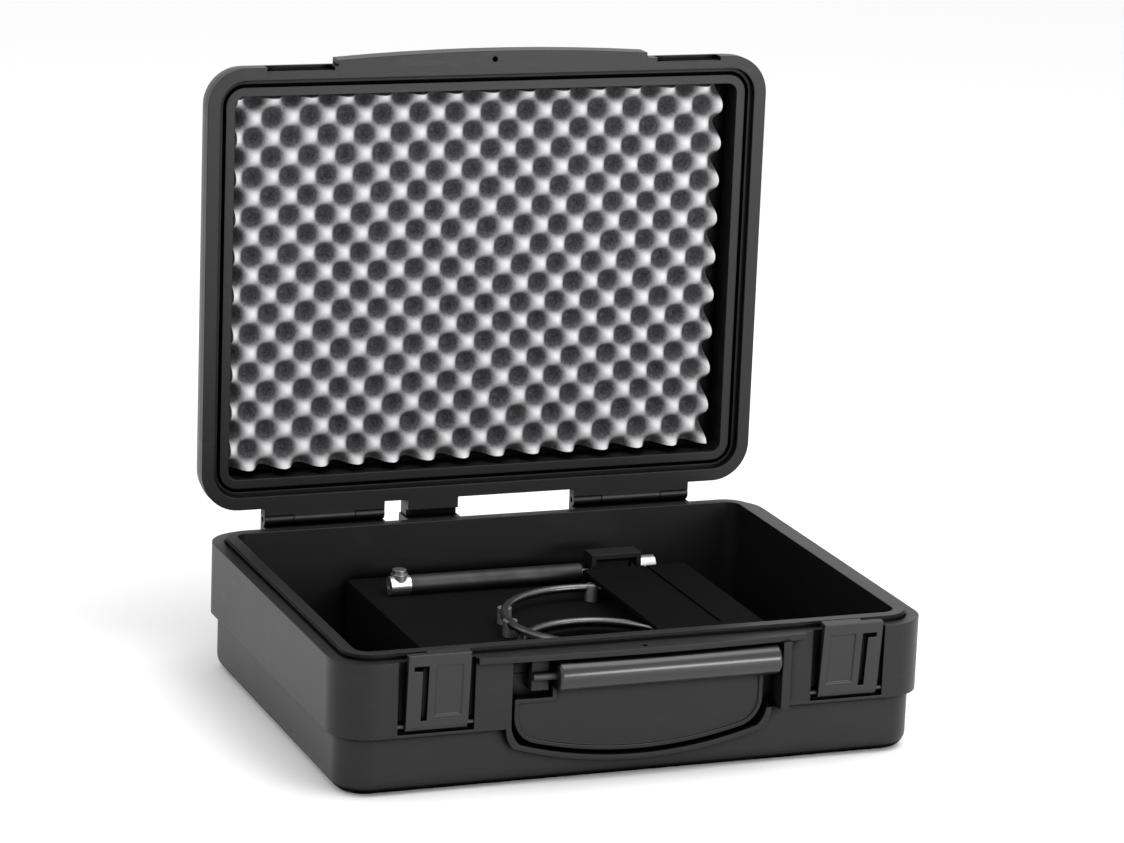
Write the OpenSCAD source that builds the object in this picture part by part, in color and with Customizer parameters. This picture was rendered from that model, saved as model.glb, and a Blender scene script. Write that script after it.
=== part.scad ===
// Moulded carrying case for microphones, standing on its underside with the lid open.
// Origin: centre of the underside of the base. +X to the right, +Y to the back, +Z up.
// Millimetres.

/* [Case] */
// Width over the closing rim
case_w = 420; // [400:1:440]
// Depth over the closing rim
case_d = 318; // [310:1:330]
// Height of the base up to its rim
base_h = 92; // [90:1:100]
// Depth of the lid behind its rim
lid_depth = 46; // [43:1:56]
// Corner radius of the rim, seen from above
corner_r = 28; // [26:1:34]
// Wall thickness of the two outer shells
wall = 3.5; // [2.5:0.1:4]

/* [Rim] */
// Width of the outer land of the rim
land_w = 9; // [8.5:0.1:9.4]
// Thickness of the land
land_t = 4; // [3.5:0.1:4.5]
// Width of the tongue on the base
tongue_w = 8.2; // [7:0.1:8.6]
// Height of the tongue above the land
tongue_h = 3.5; // [2:0.1:4]
// Depth of the lid's recessed band behind its land
band_in = 4.6; // [4.2:0.1:5]
// Width of the joint line between lid and lining
joint_w = 2.5; // [1:0.1:3]
// Wall thickness of the linings
liner_t = 2.5; // [1.5:0.1:3]
// Gap between the two lands when closed
rim_gap = 0.4; // [0.3:0.1:0.6]

/* [Lower wall] */
// Height of the edge where the wall steps in
band_z = 41; // [38:1:41]
// How far the lower wall steps in
step_in = 5; // [3:0.5:6]
// Radius along the bottom edge
bottom_r = 10; // [8:1:12]

/* [Front bulge] */
// Half width of the bulge in the middle of the front
bulge_half = 116; // [113:1:116]
// How far the bulge stands out at its ends
bulge_end = 4; // [4:0.5:6]
// How far the bulge stands out in the middle
bulge_mid = 8; // [7:0.5:10]
// Height of the lid's matching flange
flange_h = 14; // [10:1:18]
// Radius of the small hole for a lock
lock_r = 2; // [1:0.1:2.5]

/* [Hinge] */
// Distance of the hinge axis behind the back wall
axis_back = 9; // [9:0.5:11]
// Radius of the hinge barrels
barrel_r = 5; // [4.5:0.1:5]
// Radius of the hinge pins
hinge_pin_r = 2; // [1.5:0.1:2.5]
// Centre of each hinge, measured from the middle of the case
hinge_x = 118; // [112:1:125]
// Length of each hinge
hinge_l = 90; // [80:1:96]
// Length of the lid's knuckle
lid_knuckle_l = 46; // [30:1:50]
// Left end of the lid stop
stop_x = -55; // [-60:1:-50]
// Width of the lid stop
stop_w = 38; // [30:1:42]
// How far the lid stop reaches behind the hinge axis
stop_reach = 12; // [8:1:14]

/* [Latches] */
// Distance of the left latch's inner edge from the middle of the case
latch_left_in = 121.7; // [121:0.1:123]
// Distance of the right latch's inner edge from the middle of the case
latch_right_in = 127; // [121:0.1:128]
// Width of a latch
latch_w = 43; // [40:0.5:43]
// Thickness of a latch plate
latch_t = 4.7; // [4:0.1:5]
// Height of the latch's pivot
latch_z = 48; // [47:0.5:50]
// Radius of the latch's pivot pin
latch_pin_r = 1.5; // [1.2:0.1:1.8]
// Radius of the latch's barrel
latch_barrel_r = 3.6; // [3.2:0.1:3.8]
// Width of the guide rib at the outer side of a latch
latch_rib_w = 10.2; // [8:0.1:12]
// Width of the groove beside the guide rib
latch_groove_w = 4; // [3:0.1:5]
// Angle at which the left latch stands open
latch_left_open = 4; // [4:1:8]
// Angle at which the right latch stands open
latch_right_open = 6; // [4:1:10]

/* [Handle] */
// Half width of the handle's recess
recess_half = 91; // [90:0.5:92]
// Inner face of the post that holds the handle's right end
post_x = 98; // [97:0.5:100]
// How far the post stands out from the front wall
post_out = 7; // [6:0.5:9]
// Lowest point of the recess
recess_bottom = 16.5; // [16:0.5:20]
// Depth of the recess's floor behind the front wall
recess_in = 11; // [9.5:0.5:11.5]
// Radius of the recess's lower curve
recess_curve_r = 290; // [270:5:320]
// Gap between the handle and its recess
handle_gap = 2.6; // [2.2:0.1:4]
// Radius of the handle's round grip
grip_r = 10.5; // [9:0.1:10.5]
// Height of the grip's axis
grip_z = 76; // [75:0.5:77]
// Left end of the grip
grip_left = -62; // [-64:1:-58]
// Radius of the handle's pins
handle_pin_r = 2.5; // [2:0.1:2.5]
// Thickness of the handle's blade
blade_t = 5; // [4:0.1:5]
// Width of the rolled edge round the blade
bead_w = 3.2; // [2.5:0.1:5]

/* [Inside] */
// Left edge of the raised insert
insert_left = -108; // [-115:1:-104]
// Right edge of the raised insert
insert_right = 128; // [120:1:134]
// Height of the insert's top
insert_z = 56; // [52:1:58]
// Spacing of the foam's peaks from left to right
foam_pitch_x = 27.1; // [26:0.1:32]
// Spacing of the foam's peaks from front to back
foam_pitch_y = 28.2; // [26:0.1:32]
// Height of the foam's peaks above its hollows
foam_peak = 18; // [12:1:19]
// Depth of the foam's peaks below the lid's rim
foam_depth = 7; // [6:0.5:8]
// Radius of the thin bars that the two rings are made of
ring_bar_r = 3; // [2.5:0.1:3.5]
// Radius of the larger ring
ring_large = 68; // [64:1:70]
// Radius of the smaller ring
ring_small = 57; // [54:1:58]
// Radius of the round bar
bar_r = 6.7; // [6:0.1:7]
// Height of the raised cover on the insert
cover_h = 16; // [15:0.5:18]

/* [Hidden] */
$fn = 48;

fit = 0.3;
run = 0.05;
turn = 0.4;
sheet = 0.01;
front = -case_d / 2;
back = case_d / 2;

lid_open = 90;
lid_z = base_h + rim_gap;
axis_y = back + axis_back;
axis_z = base_h + barrel_r;
hinge_block_h = 11;
hinge_root = 4;

ledge_z = base_h - 2 * land_t;
tongue_inset = land_w + fit;
cavity_inset = tongue_inset + tongue_w + 0.5;
cavity_x = case_w / 2 - cavity_inset;
cavity_y = case_d / 2 - cavity_inset;
floor_z = wall + fit + liner_t;

ledge_w = 3;
well_inset = 21;
rim_inset = land_w + ledge_w + joint_w;
band_z_lid = lid_z + band_in;
ledge_t = 4;
foam_back = 3;
well_top = lid_z + foam_depth + foam_peak + foam_back + fit;
lid_edge_r = lid_depth - 8;

bulge_r = (bulge_half * bulge_half + pow(bulge_mid - bulge_end, 2)) / (2 * (bulge_mid - bulge_end));
bulge_z = base_h - land_t;
bulge_root = 10;

latch_notch = 3;
latch_back = front + latch_notch - fit;
latch_y = front + 2.4;
latch_top = lid_z + 6;
latch_lip_t = 2.8;
latch_lip_in = 3.3;
latch_backing = 8;
pad_gap = 4.8;
pin_root = 7;

grip_y = front - 2;
grip_right = post_x - 2.5;
post_w = 6;
grip_turn = 1.5;
blade_back = front + 1 + blade_t;
blade_left_z = 60;
bead_out = 1.2;
corner_curve_r = 20;
corner_rise = 27.5;
lug_x = -72;
lug_r = 6;
lug_low = 66;

cover_x = 47;
cover_y0 = -125;
cover_y1 = 74;
ring_low_z = insert_z + fit + ring_bar_r;
ring_high_z = ring_low_z + 2 * ring_bar_r + fit;
ring_low_at = [12, -60];
ring_high_at = [28, -14];
clip_r = 5;
clip_turns = [-30, 75, 155, 180];

bar_y = 98;
bar_z = insert_z + fit + bar_r;
bar_left = -75;
bar_right = 54;
spigot_r = 3;
spigot_l = 13;
clamp_l = 15;
clamp_h = 15;
screw_r = 2.5;
screw_head_r = 5;
frame_x = 60;
frame_l = 38;
frame_w = 16;
frame_h = 21;
frame_t = 3.5;
adapter_r = 7.5;
adapter_l = 12;

module slab(w, d, r, h) {
    translate([0, 0, h / 2]) {
        cube([w - 2 * r, d, h], center = true);
        cube([w, d - 2 * r, h], center = true);
    }
    for (x = [-1, 1], y = [-1, 1]) {
        translate([x * (w / 2 - r), y * (d / 2 - r), 0]) cylinder(r = r, h = h);
    }
}

// Slab of the rim's outline, set in from it, between two heights
module ring_slab(inset, low, high) {
    translate([0, 0, low])
        slab(case_w - 2 * inset, case_d - 2 * inset, max(corner_r - inset, 2), high - low);
}

// Box between two corners
module box(a, b) {
    translate(a) cube(b - a);
}

// Cylinder along X between two places
module rod(x0, x1, y, z, r) {
    translate([x0, y, z]) rotate([0, 90, 0]) cylinder(r = r, h = x1 - x0);
}

// Everything in front of the front wall that lies inside the bulge's curve
module bulge(low, high) {
    intersection() {
        box([-bulge_half, front - bulge_mid, low], [bulge_half, front + bulge_root, high]);
        translate([0, front - bulge_mid + bulge_r, low - 1])
            cylinder(r = bulge_r, h = high - low + 2, $fn = 360);
    }
}

// Outline of the handle's recess and of the handle, seen from the front
module d_shape(half, low, curve, top) {
    intersection() {
        translate([0, low + curve]) circle(r = curve, $fn = 240);
        union() {
            translate([8 - half, low]) square([2 * half - 16, top - low]);
            translate([-half, low + corner_rise]) square([2 * half, top - low - corner_rise]);
            for (x = [-1, 1]) {
                translate([x * (half - corner_curve_r), low + corner_rise]) circle(r = corner_curve_r);
            }
        }
    }
}

module d_plate(half, low, curve, top, y0, y1) {
    translate([0, y1, 0]) rotate([90, 0, 0]) linear_extrude(y1 - y0) d_shape(half, low, curve, top);
}

module in_lid() {
    translate([0, axis_y, axis_z]) rotate([-lid_open, 0, 0]) translate([0, -axis_y, -axis_z]) children();
}

module base_outer() {
    hull() {
        for (a = [0 : 15 : 90]) {
            lift = bottom_r * (1 - cos(a));
            ring_slab(step_in + bottom_r * (1 - sin(a)), lift, lift + sheet);
        }
    }
    ring_slab(step_in, bottom_r, band_z);
    hull() {
        ring_slab(step_in, band_z - step_in / 2, band_z - step_in / 2 + sheet);
        ring_slab(0, band_z - sheet, band_z);
    }
    ring_slab(0, band_z, base_h);
}

module base_hollow() {
    ring_slab(step_in + wall + 2.5, wall, wall + 4);
    ring_slab(step_in + wall, wall + 3.5, ledge_z);
    ring_slab(wall, band_z + wall / 2, ledge_z);
    ring_slab(cavity_inset - liner_t - fit, ledge_z - 1, base_h);
    ring_slab(land_w, base_h - land_t, base_h + 1);
}

module base_hinge(x) {
    low = base_h - hinge_block_h;
    difference() {
        union() {
            box([x - hinge_l / 2, back - hinge_root, low], [x + hinge_l / 2, axis_y + barrel_r, base_h]);
            rod(x - hinge_l / 2, x + hinge_l / 2, axis_y, axis_z, barrel_r);
            box([x - hinge_l / 2, axis_y, base_h - 1], [x + hinge_l / 2, axis_y + barrel_r, axis_z]);
        }
        rod(x - lid_knuckle_l / 2 - turn, x + lid_knuckle_l / 2 + turn, axis_y, axis_z, barrel_r + turn);
        box([x - lid_knuckle_l / 2 - turn, axis_y - 1, base_h], [x + lid_knuckle_l / 2 + turn, axis_y + barrel_r + 1, axis_z]);
        rod(x - hinge_l / 2 - 1, x + hinge_l / 2 + 1, axis_y, axis_z, hinge_pin_r + run);
    }
}

// Inner edge of the latch on the side given by s
function latch_in(s) = s < 0 ? latch_left_in : latch_right_in;

// Mirrors its children to the left where s is below 0
module on_side(s) {
    mirror([s < 0 ? 1 : 0, 0, 0]) children();
}

// Thickening of the front wall behind one latch
module latch_surround(s) {
    on_side(s) box([latch_in(s) - pad_gap - pin_root, front + 0.5, band_z],
        [latch_in(s) + latch_w + pad_gap + pin_root, front + latch_backing, ledge_z + 0.5]);
}

// Pocket for one latch, with its barrel and pin
module latch_cut(s) {
    inner = latch_in(s) - pad_gap;
    outer = latch_in(s) + latch_w + pad_gap;
    on_side(s) {
        box([inner, front - 1, latch_z - 5], [outer, front + latch_notch, base_h + 1]);
        rod(inner, outer, latch_y, latch_z, latch_barrel_r + turn);
        rod(inner - pin_root, outer + pin_root, latch_y, latch_z, latch_pin_r + run);
    }
}

module base_shell() {
    color("#202124") difference() {
        union() {
            difference() {
                base_outer();
                base_hollow();
            }
            difference() {
                bulge(bulge_z, base_h);
                box([-case_w, front + wall, 0], [case_w, 0, base_h + 1]);
            }
            d_plate(recess_half + wall, recess_bottom - wall, recess_curve_r + wall,
                ledge_z + 1, front, front + recess_in + wall);
            box([recess_half, front + 1, band_z], [post_x + wall, front + recess_in + wall, ledge_z + 1]);
            box([recess_half, front + step_in, band_z - wall],
                [post_x + wall, front + recess_in + wall, band_z + 1]);
            box([post_x, front - post_out, band_z], [post_x + post_w, front + 1, base_h - land_t]);
            for (s = [-1, 1]) {
                latch_surround(s);
                base_hinge(s * hinge_x);
            }
            box([stop_x - 1, back - hinge_root, base_h - hinge_block_h],
                [stop_x + stop_w + 1, axis_y + stop_reach + 1, base_h]);
        }
        difference() {
            union() {
                d_plate(recess_half, recess_bottom, recess_curve_r, grip_z, front - 20, front + recess_in);
                box([0, front - 20, band_z], [post_x, front + recess_in, grip_z]);
                rod(-recess_half, post_x, grip_y, grip_z, grip_r + grip_turn);
                box([-recess_half, front - 20, grip_z - 1], [post_x, grip_y, grip_z + grip_r + grip_turn]);
            }
            translate([lug_x, grip_y, lug_low]) cylinder(r = lug_r, h = base_h - lug_low);
            box([lug_x - lug_r, grip_y, lug_low], [lug_x + lug_r, front + recess_in + 1, base_h]);
        }
        rod(-recess_half + 1, post_x + post_w - 1, grip_y, grip_z, handle_pin_r + run);
        translate([0, front - 2, grip_z]) cylinder(r = lock_r, h = base_h);
        for (s = [-1, 1]) {
            latch_cut(s);
        }
    }
}

module base_liner() {
    color("#141416") difference() {
        union() {
            ring_slab(cavity_inset - liner_t, floor_z - liner_t, base_h + tongue_h - 1);
            ring_slab(tongue_inset, base_h - land_t + fit, base_h + tongue_h - 1);
            ring_slab(tongue_inset + 1, base_h, base_h + tongue_h);
        }
        ring_slab(cavity_inset, floor_z, base_h + 2 * tongue_h);
    }
}

module insert_block() {
    color("#17171a") difference() {
        box([insert_left, fit - cavity_y, floor_z + fit], [insert_right, cavity_y - fit, insert_z]);
        translate([ring_low_at[0], ring_low_at[1], insert_z - 22]) cylinder(r = ring_small - 8, h = 30);
    }
}

module insert_cover() {
    low = insert_z + fit;
    t = 3;
    color("#1b1c20") difference() {
        box([cover_x, cover_y0, low], [insert_right - t, cover_y1, low + cover_h]);
        box([cover_x - 1, cover_y0 + t, low - 1], [insert_right - 2 * t, cover_y1 - t, low + cover_h - t]);
        box([cover_x + 46, cover_y0 + 60, low + cover_h - 1], [cover_x + 49, cover_y1 + 1, low + cover_h + 1]);
    }
}

module flat_ring(r, z) {
    translate([0, 0, z]) rotate_extrude($fn = 96) translate([r, 0]) circle(r = ring_bar_r, $fn = 24);
}

module ring_lower() {
    color("#33343a") translate([ring_low_at[0], ring_low_at[1], 0]) flat_ring(ring_small, ring_low_z);
}

module ring_upper() {
    color("#3b3c42") translate([ring_high_at[0], ring_high_at[1], 0]) flat_ring(ring_large, ring_high_z);
}

module ring_clips() {
    color("#8d8f94") for (a = clip_turns) {
        translate([ring_high_at[0], ring_high_at[1], 0]) difference() {
            rotate([0, 0, a]) translate([ring_large, 0, insert_z + fit])
                cylinder(r = clip_r, h = ring_high_z - insert_z + ring_bar_r - 1);
            rotate([0, 0, a]) translate([ring_large, 0, ring_high_z]) rotate([90, 0, 0])
                cylinder(r = ring_bar_r + fit, h = 4 * clip_r, center = true);
        }
    }
}

module holder_bar() {
    color("#a4a6aa") difference() {
        union() {
            rod(bar_left, bar_right, bar_y, bar_z, bar_r);
            rod(bar_left - spigot_l, bar_left + 1, bar_y, bar_z, spigot_r);
        }
        rod(bar_right - 9, bar_right + 1, bar_y, bar_z, screw_r + run);
    }
}

module bar_clamp() {
    x = bar_left - fit - clamp_l;
    color("#c9cacc") difference() {
        union() {
            rod(x, x + clamp_l, bar_y, bar_z, bar_r);
            translate([x + clamp_l / 2, bar_y, bar_z]) cylinder(r = screw_head_r + 1, h = clamp_h + insert_z + fit - bar_z);
        }
        rod(x - 1, x + clamp_l + 1, bar_y, bar_z, spigot_r + run);
        translate([x + clamp_l / 2, bar_y, bar_z]) cylinder(r = screw_r + run, h = clamp_h);
    }
}

module clamp_screw() {
    top = insert_z + fit + clamp_h;
    color("#d9dadc") translate([bar_left - fit - clamp_l / 2, bar_y, 0]) {
        translate([0, 0, bar_z + spigot_r + fit]) cylinder(r = screw_r, h = top - bar_z - spigot_r);
        translate([0, 0, top + fit]) cylinder(r = screw_head_r, h = 3);
    }
}

module swivel_frame() {
    x1 = frame_x + frame_l;
    color("#2b2c30") difference() {
        box([frame_x, bar_y - frame_w / 2, insert_z + fit], [x1, bar_y + frame_w / 2, insert_z + fit + frame_h]);
        box([frame_x + frame_t, bar_y - frame_w, insert_z + fit + frame_t],
            [x1 - frame_t, bar_y + frame_w, insert_z + fit + frame_h - frame_t]);
        rod(frame_x - 1, frame_x + frame_t + 1, bar_y, bar_z, screw_r + run);
        rod(x1 - frame_t - 1, x1 + 1, bar_y, bar_z + 2, spigot_r + run);
    }
}

module swivel_screw() {
    color("#b9babd") {
        rod(bar_right - 8, frame_x + frame_t + fit + 1, bar_y, bar_z, screw_r);
        rod(frame_x + frame_t + fit, frame_x + frame_t + fit + 3, bar_y, bar_z, 1.15 * screw_r);
    }
}

module thread_adapter() {
    x1 = frame_x + frame_l + fit;
    color("#9fa1a5") difference() {
        union() {
            rod(x1, x1 + adapter_l, bar_y, bar_z + 2, adapter_r);
            rod(x1 - frame_t - fit, x1 + 1, bar_y, bar_z + 2, spigot_r);
        }
        rod(x1 + 3, x1 + adapter_l + 1, bar_y, bar_z + 2, adapter_r - 2.5);
    }
}

module hinge_pins() {
    color("#b4b6ba") for (s = [-1, 1]) {
        rod(s * hinge_x - hinge_l / 2 + 1, s * hinge_x + hinge_l / 2 - 1, axis_y, axis_z, hinge_pin_r);
    }
}

module latch_pins() {
    reach = pad_gap + pin_root - 1;
    color("#6d6f73") for (s = [-1, 1]) {
        on_side(s) rod(latch_in(s) - reach, latch_in(s) + latch_w + reach, latch_y, latch_z, latch_pin_r);
    }
}

module handle_pin_left() {
    color("#b4b6ba") rod(lug_x - lug_r, grip_left + 12, grip_y, grip_z, handle_pin_r);
}

module handle_pin_right() {
    color("#b4b6ba") rod(grip_right - 12, post_x + post_w - 2, grip_y, grip_z, handle_pin_r);
}

// Latch on the side given by s, standing open by an angle
module latch(s, angle) {
    x0 = latch_in(s);
    x1 = x0 + latch_w;
    rib = x1 - latch_rib_w;
    face = latch_back - latch_t;
    on_side(s) translate([0, latch_y, latch_z]) rotate([angle, 0, 0]) translate([0, -latch_y, -latch_z])
        difference() {
            union() {
                box([x0, face, latch_z], [x1, latch_back, latch_top]);
                rod(x0, x1, latch_y, latch_z, latch_barrel_r);
                box([x0, face, latch_top - latch_lip_t], [rib - latch_groove_w, latch_back + latch_lip_in, latch_top]);
            }
            box([rib - latch_groove_w, face - 1, latch_z + latch_barrel_r + 1], [rib, face + 3.4, latch_top - 8]);
            box([rib - latch_groove_w, face - 1, latch_top - 11], [rib + 6, face + 3.4, latch_top - 8]);
            box([x0 + 5, face - 1, latch_z + latch_barrel_r + 4],
                [rib - latch_groove_w - 5, face + 0.8, latch_top - 9]);
            rod(x0 - 1, x1 + 1, latch_y, latch_z, latch_pin_r + run);
        }
}

module latch_left() {
    color("#2a2b2e") latch(-1, latch_left_open);
}

module latch_right() {
    color("#2a2b2e") latch(1, latch_right_open);
}

// Layer of the handle's blade, set in from its outline
module blade_layer(inset, y0, y1) {
    edge = handle_gap + inset;
    d_plate(recess_half - edge, recess_bottom + edge, recess_curve_r - edge, grip_z, y0, y1);
}

module handle() {
    mid = blade_back - blade_t / 2;
    color("#26272a") difference() {
        union() {
            difference() {
                blade_layer(0, mid - blade_t / 2 - bead_out, mid + blade_t / 2);
                blade_layer(bead_w, mid - blade_t, mid - blade_t / 2);
                box([-recess_half, front - 20, blade_left_z], [grip_left, 0, base_h]);
            }
            rod(grip_left + 2, grip_right - 2, grip_y, grip_z, grip_r);
            rod(grip_left, grip_right, grip_y, grip_z, grip_r - 2);
        }
        rod(grip_left - 1, grip_left + 13, grip_y, grip_z, handle_pin_r + run);
        rod(grip_right - 13, grip_right + 1, grip_y, grip_z, handle_pin_r + run);
    }
}

module dome(inset) {
    r = lid_edge_r - inset;
    lift = lid_z + 8;
    hull() {
        ring_slab(inset, lift, lift + sheet);
        for (a = [15 : 15 : 90]) {
            ring_slab(lid_edge_r - r * cos(a), lift + r * sin(a) - sheet, lift + r * sin(a));
        }
    }
    ring_slab(inset, lid_z, lift + sheet);
}

module lid_hinge(x) {
    difference() {
        union() {
            box([x - hinge_l / 2, back - hinge_root, lid_z], [x + hinge_l / 2, axis_y, axis_z + barrel_r]);
            rod(x - lid_knuckle_l / 2, x + lid_knuckle_l / 2, axis_y, axis_z, barrel_r);
        }
        for (s = [-1, 1]) {
            translate([x, 0, 0]) mirror([s < 0 ? 1 : 0, 0, 0])
                rod(lid_knuckle_l / 2, hinge_l / 2 + 1, axis_y, axis_z, barrel_r + turn);
        }
        rod(x - hinge_l / 2, x + hinge_l / 2, axis_y, axis_z, hinge_pin_r + run);
    }
}

module lid_stop() {
    low = base_h + 5 * turn / 4;
    box([stop_x, back - hinge_root, lid_z], [stop_x + stop_w, axis_y - 1, axis_z + 1]);
    box([stop_x, back - hinge_root, axis_z], [stop_x + stop_w, axis_y + axis_z - low, axis_z + stop_reach]);
}

// Notch for one latch in the lid's front edge
module lid_notch(s) {
    on_side(s) {
        box([latch_in(s) - 3, front - 20, lid_z - 1],
            [latch_in(s) + latch_w + 3, front + latch_notch, latch_top + 4]);
        box([latch_in(s) - 2, front, latch_top - latch_lip_t - turn],
            [latch_in(s) + latch_w + 2, latch_back + latch_lip_in + 1, latch_top + 2 * turn + 0.5]);
    }
}

module lid_shell() {
    color("#202124") in_lid() difference() {
        union() {
            difference() {
                dome(0);
                ring_slab(land_w, lid_z - 1, band_z_lid);
                ring_slab(land_w + ledge_w, lid_z - 1, band_z_lid + ledge_t);
                difference() {
                    dome(wall);
                    ring_slab(-1, lid_z - 1, band_z_lid + ledge_t);
                }
            }
            for (s = [-1, 1]) {
                on_side(s) box([latch_in(s) - 6, front + 1, lid_z],
                    [latch_in(s) + latch_w + 6, front + land_w - 0.5, latch_top + 7]);
                lid_hinge(s * hinge_x);
            }
            difference() {
                bulge(lid_z, lid_z + flange_h);
                box([-case_w, front + wall, 0], [case_w, 0, case_w]);
            }
            lid_stop();
        }
        for (s = [-1, 1]) {
            lid_notch(s);
        }
        translate([0, front - 2, lid_z - 1]) cylinder(r = lock_r, h = flange_h + 5);
    }
}

module lid_liner() {
    rim_back = band_z_lid + ledge_t + fit;
    color("#141416") in_lid() difference() {
        union() {
            ring_slab(land_w + fit, rim_back, rim_back + liner_t);
            ring_slab(rim_inset, band_z_lid, rim_back + liner_t);
            ring_slab(well_inset - liner_t, rim_back, well_top + liner_t);
        }
        ring_slab(well_inset, band_z_lid - 1, well_top);
    }
}

// Height of the foam's surface above its hollows
function foam_wave(x, y) = foam_peak * (1 + cos(360 * x / foam_pitch_x) * cos(360 * y / foam_pitch_y)) / 2;

module lid_foam() {
    clear = 2.5;
    step_x = foam_pitch_x / 2;
    step_y = foam_pitch_y / 2;
    nx = floor((case_w - 2 * well_inset - 2 * clear) / step_x);
    ny = floor((case_d - 2 * well_inset - 2 * clear) / step_y);
    x0 = clear - case_w / 2 + well_inset;
    y0 = clear - case_d / 2 + well_inset;
    row = nx + 1;
    count = row * (ny + 1);
    high = well_top - fit;
    top = [for (j = [0 : ny], i = [0 : nx]) [x0 + i * step_x, y0 + j * step_y, high]];
    low = [for (j = [0 : ny], i = [0 : nx])
        [x0 + i * step_x, y0 + j * step_y, high - foam_back - foam_wave(i * step_x, j * step_y)]];
    upper = [for (j = [0 : ny - 1], i = [0 : nx - 1]) let (k = j * row + i) each
        [[k, k + row, k + 1], [k + 1, k + row, k + row + 1]]];
    lower = [for (j = [0 : ny - 1], i = [0 : nx - 1]) let (k = count + j * row + i) each
        ((i + j) % 2 == 0 ? [[k, k + 1, k + row], [k + 1, k + row + 1, k + row]]
            : [[k, k + 1, k + row + 1], [k, k + row + 1, k + row]])];
    ends_y = [for (i = [0 : nx - 1]) let (k = i, m = ny * row + i) each
        [[k, k + 1, k + count], [k + 1, k + 1 + count, k + count],
         [m, m + count, m + 1], [m + 1, m + count, m + 1 + count]]];
    ends_x = [for (j = [0 : ny - 1]) let (k = j * row, m = j * row + nx) each
        [[k, k + count, k + row], [k + row, k + count, k + row + count],
         [m, m + row, m + count], [m + row, m + row + count, m + count]]];
    color("#d6d6d8") in_lid()
        polyhedron(points = concat(top, low), faces = concat(upper, lower, ends_y, ends_x));
}

base_shell();
base_liner();
insert_block();
insert_cover();
ring_lower();
ring_upper();
ring_clips();
holder_bar();
bar_clamp();
clamp_screw();
swivel_frame();
swivel_screw();
thread_adapter();
hinge_pins();
latch_pins();
handle_pin_left();
handle_pin_right();
latch_left();
latch_right();
handle();
lid_shell();
lid_liner();
lid_foam();
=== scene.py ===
"""A moulded microphone case with its lid standing open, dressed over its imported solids."""

import math
import random

import bpy
from mathutils import Matrix, Vector


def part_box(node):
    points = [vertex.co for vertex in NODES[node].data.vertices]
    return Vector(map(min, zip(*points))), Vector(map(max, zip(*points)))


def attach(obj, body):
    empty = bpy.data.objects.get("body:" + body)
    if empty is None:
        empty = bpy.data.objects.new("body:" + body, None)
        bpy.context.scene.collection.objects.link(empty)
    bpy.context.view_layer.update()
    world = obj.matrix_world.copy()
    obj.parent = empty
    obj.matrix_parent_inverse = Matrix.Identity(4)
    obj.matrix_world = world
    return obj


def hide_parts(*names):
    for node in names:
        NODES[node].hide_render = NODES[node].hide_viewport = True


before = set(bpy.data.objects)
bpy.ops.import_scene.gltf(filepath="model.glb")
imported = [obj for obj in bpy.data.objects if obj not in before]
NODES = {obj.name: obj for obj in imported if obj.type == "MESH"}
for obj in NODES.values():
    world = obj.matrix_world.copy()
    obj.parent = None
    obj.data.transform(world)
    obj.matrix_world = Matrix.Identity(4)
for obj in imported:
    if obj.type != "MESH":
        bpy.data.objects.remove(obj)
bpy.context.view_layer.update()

bl_info = {
    "name": "Microphone Case",
    "version": (1, 0, 0),
    "blender": (4, 5, 0),
    "location": "View3D > Sidebar > Case",
    "description": "Builds the finish, foam and fittings of a moulded carrying case",
    "category": "Add Mesh",
}

# Details that follow from the solids or the way of modelling. Lengths are in metres.

# An axis and the places along it where the softening of a moulded shell starts and is full
FOOT_BAND = ("Z", 0.016, 0.012)
DOME_BAND = ("Y", 0.180, 0.185)
# Painted shade in cavities: a near-black matt sheet mixed over surfaces that nearby walls close in
CAVITY_REACH = 0.010    # how near a wall has to be for the painted shade
CAVITY_OPEN = 0.84      # openness at which the painted shade starts
CAVITY_CLOSED = 0.54    # openness at which it is full
CAVITY_SHADE_TONE = 0.0015
CAVITY_SAMPLES = 6
EDGE_SAMPLES = 6
ROUND_SAMPLES = 8

FACING = 0.9            # least part of a normal along an axis for a face to look that way
END_SEGMENTS = 5        # steps in the rounding of a bar's ends

LATCHES = (
    # piece, solid, body, outer side, degrees it stands open
    ("left_latch_plate", "latch_left", "left_latch", -1, 4.0),
    ("right_latch_plate", "latch_right", "right_latch", 1, 6.0),
)
SLOT_LIFT = 0.0046      # from the pivots up to the slot
PANEL_LIFT = 0.0076     # from the pivots up to the sunk panel
SHELF_DROP = 0.008      # from the top down to the slot and the panel
BEND_DROP = 0.011       # from the top down to the lower side of the slot's bend
BEND_REACH = 0.006      # length of the slot's bend past the rib's edge
SLOT_DEEP = 0.0034
PANEL_MARGIN = 0.005
PANEL_BORDER = 0.0006
PANEL_DEEP = 0.0009
LIP_TALL = 0.0028
LIP_REACH = 0.0033
LATCH_BARREL = 0.00355
LATCH_BARREL_GAP = 0.0001
LATCH_ROUNDING = 0.0006
MERGE_DISTANCE = 0.00002

BLADE_THICK = 0.005
BLADE_DROP = 0.004      # from the grip's axis down to the blade's top
BLADE_NOTCH = 0.0600    # height at which the notch round the left lug ends
RIM_RAISED = 0.0012
GRIP_ROUNDING = 0.002
GRIP_SIDES = 96
HANDLE_ROUNDING = 0.0007
POLISH_START = 0.011    # below the grip's axis
POLISH_FULL = 0.009
CORNER_STEPS = 12
CURVE_STEPS = 40

FOAM_SEED = 5
FOAM_WAVES = 5
FOAM_FLOOR = 0.003      # foam under the hollows
DRIFT_TURNS = 3.0
DRIFT_ACROSS = 0.01     # shares of a pitch by which the waves move the hollows
DRIFT_ALONG = 0.00875
DRIFT_TALL = 0.0075     # share of the height by which they change the peaks

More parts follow.
